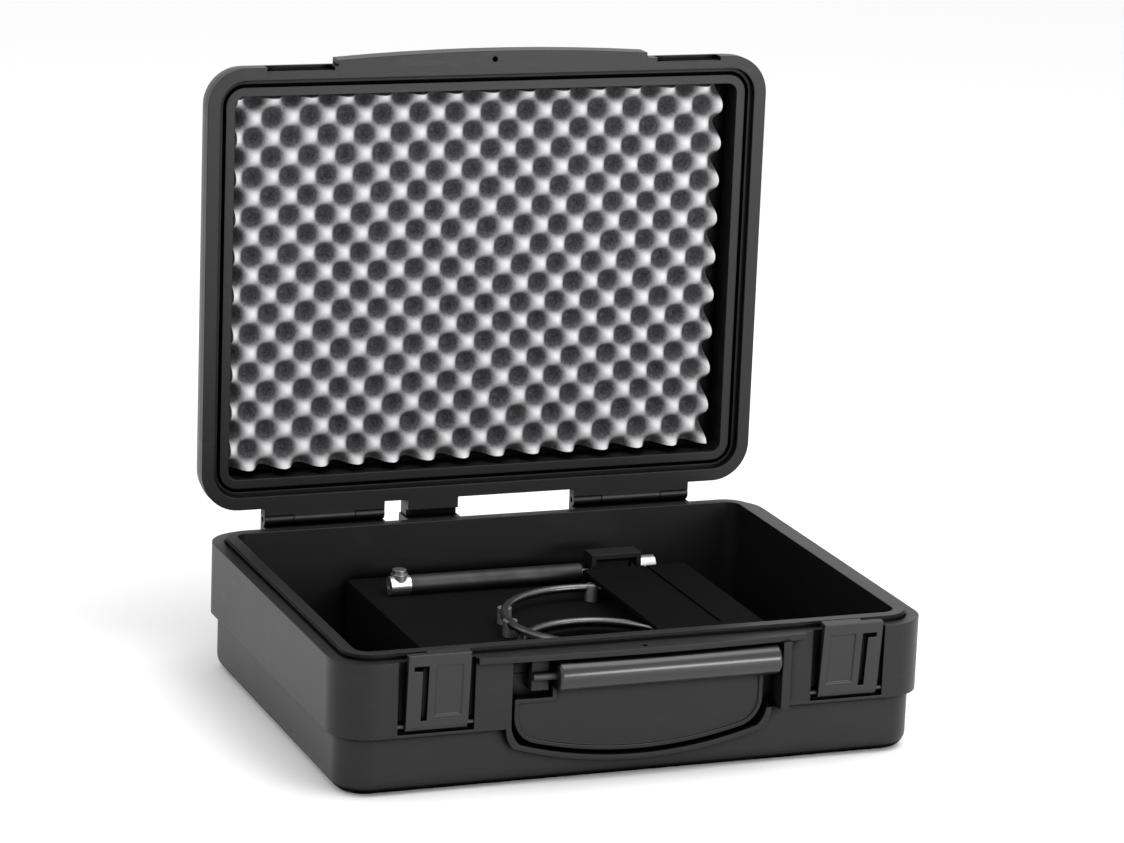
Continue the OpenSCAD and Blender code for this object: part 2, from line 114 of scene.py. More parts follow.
FLOOR_SIZE = 40.0
FLOOR_DROP = 0.0005
FLOOR_ROUGH = 0.8
FILM_WIDE = 36.0        # camera sensor in millimetres
FAR = 50.0
WHITE = (1.0, 1.0, 1.0, 1.0)
LAMP_AIM = (0.05, 0.0, 0.10)
LAMPS = (
    # name, place, width and height, setting with its power
    ("top_light", (0.55, -0.40, 1.9), (1.3, 1.3), "top_watts"),
    ("side_light", (-2.2, -0.6, 1.3), (1.2, 1.2), "side_watts"),
    ("front_light", (0.62, -1.45, 0.36), (0.85, 0.3), "front_watts"),
)


# Sizes and colours a user would change

def length(name, words, value, low=0.0, high=1.0):
    return bpy.props.FloatProperty(name=name, description=words, default=value, min=low, max=high,
                                   unit="LENGTH", subtype="DISTANCE", precision=5)


def share(name, words, value, low=0.0, high=1.0):
    return bpy.props.FloatProperty(name=name, description=words, default=value, min=low, max=high)


def colour(name, words, value):
    return bpy.props.FloatVectorProperty(name=name, description=words, default=value, size=3,
                                         subtype="COLOR", min=0.0, max=1.0)


def place(name, words, value):
    return bpy.props.FloatVectorProperty(name=name, description=words, default=value, size=3,
                                         subtype="TRANSLATION", unit="LENGTH")


def turn(name, words, degrees):
    return bpy.props.FloatVectorProperty(name=name, description=words, size=3, subtype="EULER",
                                         default=tuple(math.radians(v) for v in degrees))


class CaseColours(bpy.types.PropertyGroup):
    shell: colour("Shell", "Grained outer plastic", (0.0070, 0.0072, 0.0078))
    lining: colour("Lining", "Smoother inner plastic", (0.0050, 0.0050, 0.0055))
    moulding: colour("Moulding", "Latches and handle", (0.0070, 0.0072, 0.0078))
    insert: colour("Insert", "Dark foam insert and its cover", (0.0030, 0.0030, 0.0034))
    foam: colour("Foam", "Light grey convoluted foam", (0.60, 0.60, 0.61))
    # Painted shade: the dark colour laid in the foam's hollows for the shadow in them
    hollow: colour("Foam hollows", "Painted shade in the depth of the foam's hollows", (0.075, 0.075, 0.080))
    bar: colour("Bar", "Dark satin metal", (0.060, 0.060, 0.063))
    rings: colour("Rings", "Drawn metal of the rings", (0.15, 0.15, 0.155))
    steel: colour("Steel", "Bright metal", (0.62, 0.62, 0.63))
    pewter: colour("Pewter", "Darker grey metal", (0.36, 0.37, 0.39))
    dust: colour("Dust", "Fine dust and rubbed plastic", (0.06, 0.058, 0.056))


class CaseSizes(bpy.types.PropertyGroup):
    grain: length("Grain", "Size of the plastic's moulded grain", 0.0011, 0.0003, 0.004)
    edge: length("Edge", "Softening of the moulded edges", 0.0009, 0.0001, 0.003)
    dome_round: length("Dome softening", "Softening of the lid's domed back", 0.0075, 0.0, 0.03)
    foot_round: length("Foot softening", "Softening of the base's lower edge", 0.003, 0.0, 0.03)
    pitch_x: length("Hollow spacing across", "Spacing of the foam's hollows in a row", 0.0271)
    pitch_y: length("Hollow spacing along", "Spacing of every second row of hollows", 0.0282)
    peak: length("Peak height", "Foam peaks above the hollows", 0.018)
    hollow: length("Hollow radius", "Radius of the foam's round hollows", 0.0084)
    cell: length("Foam mesh", "Spacing of the foam's mesh", 0.0017, 0.001, 0.006)
    latch_thick: length("Latch thickness", "Thickness of a latch plate", 0.0047)
    latch_rib: length("Latch rib", "Width of the guide rib on a latch", 0.0102)
    latch_slot: length("Latch slot", "Width of the slot beside the rib", 0.004)
    latch_low: length("Latch pivot height", "Height of the latch pivots", 0.048)
    latch_top: length("Latch top", "Height of a shut latch's top", 0.0984)
    latch_axis: length("Latch pivot place", "Latch pivots from front to back", -0.1566, -1.0)
    latch_back: length("Latch back", "Back face of a shut latch", -0.1563, -1.0)
    handle_half: length("Blade half width", "Half width of the handle's blade", 0.0884)
    handle_low: length("Blade bottom", "Lowest point of the handle's blade", 0.0191)
    handle_curve: length("Blade curve", "Radius of the blade's lower edge", 0.2874)
    handle_corner: length("Blade corner", "Radius of the blade's lower corners", 0.020)
    handle_bead: length("Blade rim", "Width of the rolled edge round the blade", 0.0032)
    grip_radius: length("Grip radius", "Radius of the handle's grip", 0.0105)
    grip_height: length("Grip height", "Height of the grip's axis", 0.076)
    grip_place: length("Grip place", "Grip axis from front to back", -0.161, -1.0)
    grip_left: length("Grip left end", "Left end of the grip", -0.062, -1.0)
    grip_right: length("Grip right end", "Right end of the grip", 0.0955)


class CaseStage(bpy.types.PropertyGroup):
    camera_at: place("Camera", "Where the camera stands", (-1.0134, -2.6052, 0.9237))
    camera_turn: turn("Camera turn", "How the camera is turned", (75.5297, -2.1662, -20.6558))
    lens: share("Lens", "Focal length in millimetres", 134.96, 20.0, 300.0)
    floor: colour("Floor", "Pale floor", (0.94, 0.94, 0.94))
    room: share("Room light", "Brightness of the white room as a lamp", 0.98, 0.0, 5.0)
    backdrop: share("Backdrop", "Brightness of the white room as it is seen", 1.0, 0.0, 2.0)
    top_watts: share("Top light", "Power of the light above in watts", 20.0, 0.0, 500.0)
    side_watts: share("Side light", "Power of the light at the left in watts", 8.0, 0.0, 500.0)
    front_watts: share("Front light", "Power of the wide low light in watts", 12.0, 0.0, 500.0)


def scene_props():
    scene = bpy.context.scene
    return scene.case_colours, scene.case_sizes, scene.case_stage


# Shader writing

class Value:
    """A shader socket that takes part in sums like a number."""

    def __init__(self, shader, socket):
        self.shader = shader
        self.socket = socket

    def _maths(self, operation, *inputs):
        return self.shader.node("ShaderNodeMath", {"operation": operation}, dict(enumerate(inputs)))

    def __add__(self, other): return self._maths("ADD", self, other)
    def __radd__(self, other): return self._maths("ADD", other, self)
    def __sub__(self, other): return self._maths("SUBTRACT", self, other)
    def __rsub__(self, other): return self._maths("SUBTRACT", other, self)
    def __mul__(self, other): return self._maths("MULTIPLY", self, other)
    def __rmul__(self, other): return self._maths("MULTIPLY", other, self)

    def ramp(self, start, end, interpolation="LINEAR"):
        """0 up to the start and 1 past the end, which may lie below the start."""
        return self.shader.node("ShaderNodeMapRange",
                                {"clamp": True, "interpolation_type": interpolation},
                                {"Value": self, "From Min": start, "From Max": end})


class Shader:
    """One material's node tree, written as expressions."""

    def __init__(self, name):
        self.material = bpy.data.materials.new(name)
        self.material.use_nodes = True
        self.tree = self.material.node_tree
        self.tree.nodes.clear()
        self.out = self.tree.nodes.new("ShaderNodeOutputMaterial")
        self.where = self.node("ShaderNodeTexCoord", {}, {}, "Object")
        self.surface = None

    def node(self, kind, settings, inputs, output=0):
        """Adds a node with its settings, then links or fills the inputs given."""
        made = self.tree.nodes.new(kind)
        for key, value in settings.items():
            setattr(made, key, value)
        for key, value in inputs.items():
            socket = made.inputs[key]
            if isinstance(value, Value):
                self.tree.links.new(value.socket, socket)
            elif hasattr(value, "__len__") and len(value) < len(socket.default_value):
                socket.default_value = (*value, 1.0)
            else:
                socket.default_value = value
        return Value(self, made.outputs[output])

    def noise(self, scale, detail=4.0, rough=0.5, stretch=(1.0, 1.0, 1.0), warp=0.0):
        at = self.node("ShaderNodeMapping", {}, {"Vector": self.where, "Scale": stretch})
        return self.node("ShaderNodeTexNoise", {}, {"Vector": at, "Scale": scale, "Detail": detail,
                                                    "Roughness": rough, "Distortion": warp})

    def cells(self, size, feature="F1"):
        return self.node("ShaderNodeTexVoronoi", {"feature": feature},
                         {"Vector": self.where, "Scale": 1.0 / size}, "Distance")

    def mix(self, factor, a, b):
        """A colour between two others."""
        return self.node("ShaderNodeMix", {"data_type": "RGBA"}, {0: factor, 6: a, 7: b}, 2)

    def bump(self, height, distance, strength, normal=None):
        inputs = {"Height": height, "Distance": distance, "Strength": strength}
        if normal is not None:
            inputs["Normal"] = normal
        return self.node("ShaderNodeBump", {}, inputs)

    def soft_edges(self, radius, samples=EDGE_SAMPLES):
        return self.node("ShaderNodeBevel", {"samples": samples}, {"Radius": radius})

    def past(self, axis, start, end):
        """A share from 0 to 1 between two places along an axis."""
        at = self.node("ShaderNodeSeparateXYZ", {}, {"Vector": self.where}, axis)
        return at.ramp(start, end)

    def softer_past(self, normal, axis, start, end, radius):
        """The normal given, passing to much rounder edges between two places along an axis."""
        broad = self.soft_edges(radius, ROUND_SAMPLES)
        return self.node("ShaderNodeMix", {"data_type": "VECTOR"},
                         {0: self.past(axis, start, end), 4: normal, 5: broad}, 1)

    def upward(self):
        """How far the surface faces up, from 0 to 1."""
        normal = self.node("ShaderNodeNewGeometry", {}, {}, "Normal")
        return self.node("ShaderNodeSeparateXYZ", {}, {"Vector": normal}, "Z").ramp(0.2, 0.95)

    def show(self, surface):
        self.surface = surface
        self.tree.links.new(surface.socket, self.out.inputs["Surface"])
        return self.material

    def finish(self, **inputs):
        """Ends in one surface shader, with its inputs given by name."""
        named = {key.replace("_", " "): value for key, value in inputs.items()}
        return self.show(self.node("ShaderNodeBsdfPrincipled", {}, named))

    def paint_cavity_shade(self):
        """Paints shade over narrow gaps and corners: a near-black matt sheet mixed in where nearby
        walls close the surface in.
        """
        openness = self.node("ShaderNodeAmbientOcclusion", {"samples": CAVITY_SAMPLES},
                             {"Distance": CAVITY_REACH}, "AO")
        closed = openness.ramp(CAVITY_OPEN, CAVITY_CLOSED)
        # Painted shade: the near-black sheet laid where the surface is closed in
        overlay = self.node("ShaderNodeBsdfDiffuse", {},
                         {"Color": (CAVITY_SHADE_TONE,) * 3, "Roughness": 1.0})
        both = self.node("ShaderNodeMixShader", {}, {0: closed, 1: self.surface, 2: overlay})
        return self.show(both)


def toned(tone, factor):
    """A colour made darker or lighter by a factor."""
    return [min(1.0, v * factor) for v in tone]


def grained_plastic(name, tone, dust, grain, edge, rough, depth, wear=0.5, shine=0.25,
                    round_part=None, polish=None):
    """Black moulded plastic with a fine grain, soft edges, scuffs, a little dust and painted shade
    in its cavities.

    round_part gives an axis, two places along it and the radius of the edges past them. polish
    gives an axis and two places past which the plastic is rubbed smooth.
    """
    s = Shader(name)
    pebbles = s.cells(grain, "SMOOTH_F1")
    pores = s.noise(scale=2400.0, detail=3.0)
    clouds = s.noise(scale=7.0, rough=0.6)
    scuffs = s.noise(scale=30.0, detail=6.0, rough=0.65, stretch=(1.0, 1.0, 5.0), warp=0.4)
    marks = scuffs.ramp(0.56, 0.70) * clouds.ramp(0.3, 0.7)
    cover = 0.22 * wear
    overlay = s.upward() * (clouds * 0.5 + 0.25) * cover
    plain = s.mix(clouds, toned(tone, 0.85), toned(tone, 1.18))
    dusty = s.mix(overlay, s.mix(marks * cover, plain, dust), dust)
    edges = s.soft_edges(edge)
    if round_part:
        edges = s.softer_past(edges, *round_part)
    coat = s.past(*polish) * 0.6 if polish else 0.0
    s.finish(Base_Color=dusty, Roughness=rough + (clouds - 0.5) * 0.10 - marks * 0.08,
             Normal=s.bump(pebbles * 0.7 + pores * 0.3, depth, 0.6, edges),
             Specular_IOR_Level=shine, Coat_Weight=coat, Coat_Roughness=0.20)
    # Painted shade in the gaps and corners
    return s.paint_cavity_shade()


def metal(name, tone, rough, edge):
    """Brushed and slightly dulled metal."""
    s = Shader(name)
    lines = s.noise(scale=160.0, rough=0.6, stretch=(0.05, 1.0, 1.0))
    spots = s.noise(scale=45.0, detail=5.0, rough=0.6)
    base = s.mix(spots.ramp(0.45, 0.75), tone, toned(tone, 0.55))
    return s.finish(Base_Color=base, Metallic=1.0, Roughness=rough + lines * 0.16 + spots * 0.08,
                    Normal=s.bump(lines, 0.00004, 0.5, s.soft_edges(edge)))


def dark_foam(name, tone):
    """Firm black foam with open pores."""
    s = Shader(name)
    pores = s.cells(0.0012)
    soft = s.noise(scale=300.0, detail=5.0)
    return s.finish(Base_Color=s.mix(soft, toned(tone, 0.6), toned(tone, 1.7)), Roughness=0.95,
                    Normal=s.bump(pores + soft * 0.6, 0.0004, 0.7, s.soft_edges(0.0015)),
                    Specular_IOR_Level=0.08)


def light_foam(name, tone, hollow):
    """Pale open-cell foam with painted shade in its hollows, laid where the crown attribute is low.
    """
    s = Shader(name)
    crown = s.node("ShaderNodeAttribute", {"attribute_name": "crown"}, {}, "Fac")
    pores = s.cells(0.0010)
    fluff = s.noise(scale=420.0, detail=5.0, rough=0.65)
    blotch = s.noise(scale=14.0, rough=0.6)
    high = s.mix(blotch, toned(tone, 0.93), toned(tone, 1.07))
    # Painted shade: a dark mottled colour in the hollows, laid where the crown height is low
    painted_hollow_shade = s.mix(fluff.ramp(0.36, 0.64), toned(hollow, 0.6), toned(hollow, 1.5))
    raised = (crown + (fluff - 0.5) * 0.08).ramp(0.50, 1.02, "SMOOTHSTEP")
    speckled = s.mix(pores.ramp(0.5, 0.0) * 0.2, s.mix(raised, painted_hollow_shade, high), toned(tone, 0.5))
    return s.finish(Base_Color=speckled, Roughness=0.97,
                    Normal=s.bump(pores * 0.7 + fluff * 0.8, 0.0006, 0.6),
                    Specular_IOR_Level=0.15)


# Mesh helpers

def clear_selection():
    if bpy.context.mode != "OBJECT":
        bpy.ops.object.mode_set(mode="OBJECT")
    bpy.ops.object.select_all(action="DESELECT")


def paint(obj, material):
    obj.data.materials.clear()
    obj.data.materials.append(material)


def settle(obj):
    """Puts the piece's place into its mesh, with the object at the origin."""
    obj.data.transform(obj.matrix_world)
    obj.matrix_world = Matrix.Identity(4)


def select_faces(obj, wanted):
    """Goes into edit mode with only the faces that pass the test selected."""
    bpy.ops.object.mode_set(mode="OBJECT")
    bpy.context.tool_settings.mesh_select_mode = (False, False, True)
    for item in (*obj.data.vertices, *obj.data.edges):
        item.select = False
    for face in obj.data.polygons:
        face.select = wanted(face)
    bpy.ops.object.mode_set(mode="EDIT")


def select_front(obj, side, xs=(-1.0, 1.0), zs=(-1.0, 1.0)):
    """Selects the faces that look to that side of Y and lie between the places in X and Z."""
    def wanted(face):
        at = face.center
        return (face.normal.y * side > FACING and xs[0] < at.x < xs[1] and zs[0] < at.z < zs[1])
    select_faces(obj, wanted)


def cut_lines(xs, zs):
    """Cuts the mesh being edited along planes across X and Z."""
    for axis, places in (((1, 0, 0), xs), ((0, 0, 1), zs)):
        for at in places:
            bpy.ops.mesh.select_all(action="SELECT")
            bpy.ops.mesh.bisect(plane_co=tuple(at * c for c in axis), plane_no=axis)


def push(y):
    """Extrudes the selected faces along Y."""
    bpy.ops.mesh.extrude_region_move(TRANSFORM_OT_translate={"value": (0.0, y, 0.0)})


def round_edges(obj, width, angle):
    """Rounds the edges sharper than the angle in degrees."""
    modifier = obj.modifiers.new("rounded edges", "BEVEL")
    modifier.width = width
    modifier.segments = 3
    modifier.limit_method = "ANGLE"
    modifier.angle_limit = math.radians(angle)
    modifier.harden_normals = True


def smooth(obj, angle):
    """Shades the piece smooth across edges flatter than the angle in degrees."""
    clear_selection()
    obj.select_set(True)
    bpy.ops.object.shade_smooth_by_angle(angle=math.radians(angle))


def barrel(name, left, right, y, z, radius, rounding, sides=64):
    """A round bar along X with rounded ends."""
    clear_selection()
    bpy.ops.mesh.primitive_cylinder_add(vertices=sides, radius=radius, depth=right - left,
                                        end_fill_type="NGON", rotation=(0.0, math.pi / 2, 0.0),
                                        location=((left + right) / 2, y, z))
    bar = bpy.context.object
    bar.name = bar.data.name = name
    settle(bar)
    select_faces(bar, lambda face: abs(face.normal.x) > FACING)
    bpy.ops.mesh.bevel(offset=rounding, segments=END_SEGMENTS, affect="EDGES")
    bpy.ops.object.mode_set(mode="OBJECT")
    return bar


def joined(first, second):
    clear_selection()
    first.select_set(True)
    second.select_set(True)
    bpy.context.view_layer.objects.active = first
    bpy.ops.object.join()
    return first


def arc(centre_x, centre_z, radius, start, end, steps):
    """Points in X and Z along an arc, with both its ends."""
    angles = [start + (end - start) * i / steps for i in range(steps + 1)]
    return [(centre_x + radius * math.cos(a), centre_z + radius * math.sin(a)) for a in angles]


# Steps

class CASE_OT_stage(bpy.types.Operator):
    """Sets the camera, the pale floor and the soft light"""
    bl_idname = "case.stage"
    bl_label = "Camera, floor and light"

    def execute(self, context):
        _, _, stage = scene_props()
        scene = context.scene
        clear_selection()
        bpy.ops.object.camera_add(location=stage.camera_at, rotation=stage.camera_turn)
        camera = context.object
        camera.data.sensor_width = FILM_WIDE
        camera.data.lens = stage.lens
        camera.data.clip_end = FAR
        scene.camera = camera
        scene.view_settings.view_transform = "Standard"
        clear_selection()
        bpy.ops.mesh.primitive_plane_add(size=FLOOR_SIZE, location=(0.0, 0.0, -FLOOR_DROP))
        floor = context.object
        floor.name = "floor"
        paint(floor, Shader("pale floor").finish(Base_Color=tuple(stage.floor),
                                                 Roughness=FLOOR_ROUGH))
        self.white_room(scene, stage)
        for name, at, size, power in LAMPS:
            self.lamp(name, at, size, getattr(stage, power))
        return {"FINISHED"}

    def white_room(self, scene, stage):
        """White all round, with one strength as a lamp and another as it is seen or mirrored."""
        world = bpy.data.worlds.new("soft white room")
        scene.world = world
        world.use_nodes = True
        tree = world.node_tree
        tree.nodes.clear()
        path = tree.nodes.new("ShaderNodeLightPath")
        seen = tree.nodes.new("ShaderNodeMath")
        seen.operation = "ADD"
        seen.use_clamp = True
        both = tree.nodes.new("ShaderNodeMixShader")
        out = tree.nodes.new("ShaderNodeOutputWorld")
        for socket, ray in zip(seen.inputs, ("Is Camera Ray", "Is Glossy Ray")):
            tree.links.new(path.outputs[ray], socket)
        tree.links.new(seen.outputs[0], both.inputs[0])
        for socket, strength in ((both.inputs[1], stage.room), (both.inputs[2], stage.backdrop)):
            light = tree.nodes.new("ShaderNodeBackground")
            light.inputs["Color"].default_value = WHITE
            light.inputs["Strength"].default_value = strength
            tree.links.new(light.outputs[0], socket)
        tree.links.new(both.outputs[0], out.inputs["Surface"])

    def lamp(self, name, at, size, watts):
        clear_selection()
        aim = Vector(LAMP_AIM) - Vector(at)
        bpy.ops.object.light_add(type="AREA", location=at,
                                 rotation=aim.to_track_quat("-Z", "Y").to_euler())
        lamp = bpy.context.object
        lamp.name = name
        lamp.data.shape = "RECTANGLE"
        lamp.data.size, lamp.data.size_y = size
        lamp.data.energy = watts


class CASE_OT_shells(bpy.types.Operator):
    """Gives the shells, linings and insert their moulded finish"""
    bl_idname = "case.shells"
    bl_label = "Shells and linings"

    def execute(self, context):
        colours, sizes, _ = scene_props()
        shell = grained_plastic("grained black plastic", colours.shell, colours.dust,
                                grain=sizes.grain, edge=sizes.edge, rough=0.38, depth=0.00010,
                                round_part=(*FOOT_BAND, sizes.foot_round))
        lid = grained_plastic("grained black lid", colours.shell, colours.dust,
                              grain=sizes.grain, edge=sizes.edge, rough=0.38, depth=0.00010,
                              round_part=(*DOME_BAND, sizes.dome_round))
        lining = grained_plastic("smooth black lining", colours.lining, colours.dust,
                                 grain=sizes.grain * 0.6, edge=sizes.edge, rough=0.38,
                                 depth=0.00005, shine=0.26)
        cover = grained_plastic("matt black cover", colours.insert, colours.dust,
                                grain=sizes.grain, edge=sizes.edge, rough=0.80, depth=0.00010,
                                wear=0.15, shine=0.03)
        foam = dark_foam("firm black foam", colours.insert)
        for name, material in (("base_shell", shell), ("lid_shell", lid), ("base_liner", lining),
                               ("lid_liner", lining), ("insert_cover", cover),
                               ("insert_block", foam)):
            paint(NODES[name], material)
        return {"FINISHED"}


class CASE_OT_metalwork(bpy.types.Operator):
    """Gives the pins, bars, rings and screws their metal finish"""
    bl_idname = "case.metalwork"
    bl_label = "Pins, rings and holder parts"

    def execute(self, context):
        colours, _, _ = scene_props()
        steel = metal("brushed steel", colours.steel, rough=0.24, edge=0.0003)
        pewter = metal("satin grey metal", colours.pewter, rough=0.38, edge=0.0004)
        satin = metal("dark satin metal", colours.bar, rough=0.42, edge=0.0004)
        drawn = metal("dark drawn metal", colours.rings, rough=0.20, edge=0.0003)
        painted = grained_plastic("dark painted metal", colours.moulding, colours.dust,
                                  grain=0.0006, edge=0.0005, rough=0.34, depth=0.00003)
        for material, names in (
                (steel, ("bar_clamp", "clamp_screw", "swivel_screw", "thread_adapter")),
                (pewter, ("hinge_pins", "ring_clips")),
                (satin, ("holder_bar", "latch_pins", "handle_pin_left", "handle_pin_right")),
                (drawn, ("ring_lower", "ring_upper")),
                (painted, ("swivel_frame",))):
            for name in names:
                paint(NODES[name], material)
        return {"FINISHED"}


class CASE_OT_latches(bpy.types.Operator):
    """Models the two latches: plate, guide rib, slot, sunk panel, lip and barrel"""
    bl_idname = "case.latches"
    bl_label = "Latches"

    def execute(self, context):
        colours, sizes, _ = scene_props()
        satin = grained_plastic("satin black latch", colours.moulding, colours.dust,
                                grain=sizes.grain * 0.7, edge=sizes.edge * 0.5, rough=0.36,
                                depth=0.00005, shine=0.42)
        pivot = Vector((0.0, sizes.latch_axis, sizes.latch_low))
        for name, node, body, side, angle in LATCHES:
            low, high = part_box(node)
            plate = self.plate(context, name, sizes, low.x, high.x, side)
            round_end = barrel(name + "_barrel", low.x + LATCH_BARREL_GAP,
                               high.x - LATCH_BARREL_GAP, sizes.latch_axis, sizes.latch_low,
                               LATCH_BARREL, LATCH_ROUNDING)
            latch = joined(plate, round_end)
            latch.data.transform(Matrix.Translation(pivot)
                                 @ Matrix.Rotation(math.radians(angle), 4, "X")
                                 @ Matrix.Translation(-pivot))
            smooth(latch, 40.0)
            round_edges(latch, LATCH_ROUNDING, 32.0)
            paint(latch, satin)
            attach(latch, body)
            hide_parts(node)
        return {"FINISHED"}

    def plate(self, context, name, sizes, left, right, side):
        """The flat part, modelled shut, with its rib on the outer side."""
        inner, outer = (left, right) if side > 0 else (right, left)
        low, top = sizes.latch_low, sizes.latch_top
        clear_selection()
        bpy.ops.mesh.primitive_cube_add(size=1.0, location=(
            (left + right) / 2, sizes.latch_back - sizes.latch_thick / 2, (low + top) / 2))
        latch = context.object
        latch.name = latch.data.name = name
        latch.scale = (right - left, sizes.latch_thick, top - low)
        context.view_layer.update()
        settle(latch)
        rib = outer - side * sizes.latch_rib
        slot = rib - side * sizes.latch_slot
        bend = rib + side * BEND_REACH
        panel = sorted((inner + side * PANEL_MARGIN, slot - side * PANEL_MARGIN))
        slot_low, panel_low = low + SLOT_LIFT, low + PANEL_LIFT
        bend_low, shelf, lip_low = top - BEND_DROP, top - SHELF_DROP, top - LIP_TALL
        bpy.ops.object.mode_set(mode="EDIT")
        cut_lines((rib, slot, bend, *panel), (slot_low, panel_low, bend_low, shelf, lip_low))
        select_front(latch, -1, sorted((slot, rib)), (slot_low, shelf))
        push(SLOT_DEEP)
        select_front(latch, -1, sorted((rib, bend)), (bend_low, shelf))
        push(SLOT_DEEP)
        select_front(latch, -1, panel, (panel_low, shelf))
        bpy.ops.mesh.inset(thickness=PANEL_BORDER, depth=-PANEL_DEEP)
        select_front(latch, 1, sorted((inner, slot)), (lip_low, top))
        push(LIP_REACH)
        bpy.ops.mesh.select_all(action="SELECT")
        bpy.ops.mesh.remove_doubles(threshold=MERGE_DISTANCE)
        # In a set order, so that the rounded corners come out the same each run
        bpy.ops.mesh.sort_elements(type="CURSOR_DISTANCE", elements={"VERT", "EDGE", "FACE"})
        bpy.ops.object.mode_set(mode="OBJECT")
        return latch


class CASE_OT_handle(bpy.types.Operator):
    """Models the handle: a D-shaped blade with a rolled edge and a round grip"""
    bl_idname = "case.handle"
    bl_label = "Handle"

    def execute(self, context):
        colours, sizes, _ = scene_props()
        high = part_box("handle")[1]
        blade = self.blade(context, sizes, high.y)
        grip = barrel("handle_grip", sizes.grip_left, sizes.grip_right, sizes.grip_place,
                      sizes.grip_height, sizes.grip_radius, GRIP_ROUNDING, GRIP_SIDES)
        handle = joined(blade, grip)
        handle.name = handle.data.name = "carrying_handle"
        smooth(handle, 40.0)
        round_edges(handle, HANDLE_ROUNDING, 40.0)
        axis = sizes.grip_height
        paint(handle, grained_plastic("satin black handle", colours.moulding, colours.dust,
                                      grain=sizes.grain * 0.5, edge=sizes.edge * 0.4,
                                      rough=0.34, depth=0.00003,
                                      polish=("Z", axis - POLISH_START, axis - POLISH_FULL)))
        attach(handle, "carry_handle")
        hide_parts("handle")
        return {"FINISHED"}

    def outline(self, sizes):
        """The blade's outline in X and Z, from the notch round the lug to the right end."""
        half, low = sizes.handle_half, sizes.handle_low
        big, small = sizes.handle_curve, sizes.handle_corner
        top = sizes.grip_height - BLADE_DROP
        left, down = math.pi, -math.pi / 2
        corner = half - small
        rise = low + big - math.sqrt((big - small) ** 2 - corner ** 2)
        meet = math.atan2(corner, low + big - rise)
        return [(sizes.grip_left, top), (sizes.grip_left, BLADE_NOTCH), (-half, BLADE_NOTCH),
                *arc(-corner, rise, small, left, 1.5 * math.pi - meet, CORNER_STEPS),
                *arc(0.0, low + big, big, down - meet, down + meet, CURVE_STEPS)[1:-1],
                *arc(corner, rise, small, down + meet, 0.0, CORNER_STEPS),
                (half, top)]

    def blade(self, context, sizes, back):
        """The flat part, whose face is set in from a raised rim."""
        points = self.outline(sizes)
        clear_selection()
        bpy.ops.mesh.primitive_circle_add(vertices=len(points), radius=sizes.handle_half,
                                          fill_type="NGON")
        blade = context.object
        for v, (x, z) in zip(blade.data.vertices, points):
            v.co = (x, back, z)
        bpy.ops.object.mode_set(mode="EDIT")
        bpy.ops.mesh.select_mode(type="FACE")
        bpy.ops.mesh.select_all(action="SELECT")
        push(-BLADE_THICK)
        bpy.ops.mesh.select_all(action="SELECT")
        bpy.ops.mesh.normals_make_consistent(inside=False)
        select_front(blade, -1)
        push(-RIM_RAISED)
        bpy.ops.mesh.inset(thickness=sizes.handle_bead, depth=0.0)
        push(RIM_RAISED)
        bpy.ops.object.mode_set(mode="OBJECT")
        return blade


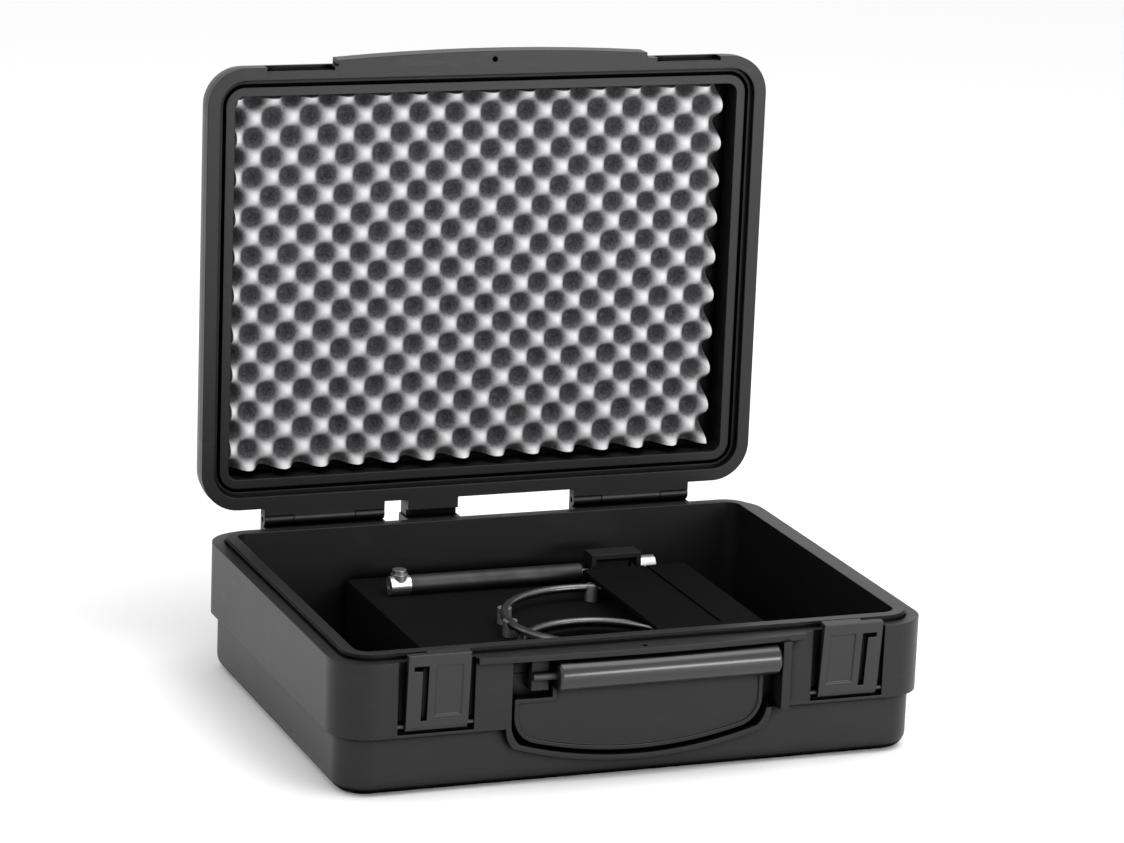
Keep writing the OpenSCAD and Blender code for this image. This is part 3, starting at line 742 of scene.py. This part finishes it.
class CASE_OT_lid_foam(bpy.types.Operator):
    """Makes the lid's convoluted foam as a dense surface with rows of round hollows"""
    bl_idname = "case.lid_foam"
    bl_label = "Convoluted foam"

    def execute(self, context):
        colours, sizes, _ = scene_props()
        low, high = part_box("lid_foam")
        wide, tall, back = high.x - low.x, high.z - low.z, high.y
        clear_selection()
        bpy.ops.mesh.primitive_grid_add(size=1.0, x_subdivisions=round(wide / sizes.cell),
                                        y_subdivisions=round(tall / sizes.cell))
        foam = context.object
        foam.name = foam.data.name = "convoluted_foam"
        rng = random.Random(FOAM_SEED)
        waves = [(rng.uniform(-1, 1), rng.uniform(-1, 1), rng.uniform(4, 11))
                 for _ in range(FOAM_WAVES)]
        crowns = []
        for v in foam.data.vertices:
            u, w = v.co.x + 0.5, v.co.y + 0.5
            x, z = low.x + u * wide, low.z + w * tall
            drift = sum(math.sin(f * (a * u + b * w) * DRIFT_TURNS + f) for a, b, f in waves)
            crown = self.swell((x - low.x) / sizes.pitch_x + drift * DRIFT_ACROSS,
                               (high.z - z) / sizes.pitch_y - drift * DRIFT_ALONG, sizes)
            crowns.append(crown)
            rise = sizes.peak * min(1.0, crown * (1 + drift * DRIFT_TALL))
            v.co = (x, back - FOAM_FLOOR - rise, z)
        foam.data.attributes.new("crown", "FLOAT", "POINT").data.foreach_set("value", crowns)
        self.close(foam, back)
        smooth(foam, 60.0)
        paint(foam, light_foam("light grey foam", colours.foam, colours.hollow))
        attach(foam, "lid")
        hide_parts("lid_foam")
        return {"FINISHED"}

    def swell(self, across, along, sizes):
        """Height of the foam, from 0 in a hollow to 1 on a peak, among offset rows of hollows."""
        fullest = 1 - 4 * math.exp(-(sizes.pitch_x ** 2 + sizes.pitch_y ** 2)
                                   / (8 * sizes.hollow ** 2))
        height = 1.0
        for row in range(math.floor(2 * along) - 1, math.floor(2 * along) + 3):
            shift = 0.5 * (1 - row % 2)
            near = math.floor(across - shift)
            for column in range(near - 1, near + 3):
                dx = (across - shift - column) * sizes.pitch_x
                dy = (along - row / 2) * sizes.pitch_y
                height -= math.exp(-(dx * dx + dy * dy) / sizes.hollow ** 2)
        return max(0.0, min(1.0, height / fullest))

    def close(self, foam, back):
        """Draws the sheet's edge to the flat back and closes it there."""
        bpy.ops.object.mode_set(mode="EDIT")
        bpy.ops.mesh.select_all(action="DESELECT")
        bpy.ops.mesh.select_mode(type="EDGE")
        bpy.ops.mesh.select_non_manifold()
        bpy.ops.mesh.extrude_edges_move(TRANSFORM_OT_translate={"value": (0.0, 0.0, 0.0)})
        bpy.ops.object.mode_set(mode="OBJECT")
        for v in foam.data.vertices:
            if v.select:
                v.co.y = back
        bpy.ops.object.mode_set(mode="EDIT")
        bpy.ops.mesh.edge_face_add()
        bpy.ops.mesh.select_all(action="SELECT")
        bpy.ops.mesh.normals_make_consistent(inside=False)
        bpy.ops.object.mode_set(mode="OBJECT")


class CASE_PT_panel(bpy.types.Panel):
    """Lists the case's sizes, colours and build steps"""
    bl_idname = "CASE_PT_panel"
    bl_label = "Microphone case"
    bl_space_type = "VIEW_3D"
    bl_region_type = "UI"
    bl_category = "Case"

    def draw(self, context):
        for group in scene_props():
            box = self.layout.box()
            for key in group.__annotations__:
                box.prop(group, key)
        for operator in STEPS:
            self.layout.operator(operator.bl_idname)


GROUPS = (CaseColours, CaseSizes, CaseStage)
STEPS = (CASE_OT_stage, CASE_OT_shells, CASE_OT_metalwork, CASE_OT_latches, CASE_OT_handle,
         CASE_OT_lid_foam)


def register():
    for cls in (*GROUPS, *STEPS, CASE_PT_panel):
        bpy.utils.register_class(cls)
    bpy.types.Scene.case_colours = bpy.props.PointerProperty(type=CaseColours)
    bpy.types.Scene.case_sizes = bpy.props.PointerProperty(type=CaseSizes)
    bpy.types.Scene.case_stage = bpy.props.PointerProperty(type=CaseStage)


def unregister():
    del bpy.types.Scene.case_colours, bpy.types.Scene.case_sizes, bpy.types.Scene.case_stage
    for cls in reversed((*GROUPS, *STEPS, CASE_PT_panel)):
        bpy.utils.unregister_class(cls)


def main():
    register()
    bpy.ops.case.stage()
    bpy.ops.case.shells()
    bpy.ops.case.metalwork()
    bpy.ops.case.latches()
    bpy.ops.case.handle()
    bpy.ops.case.lid_foam()


if __name__ == "__main__":
    main()
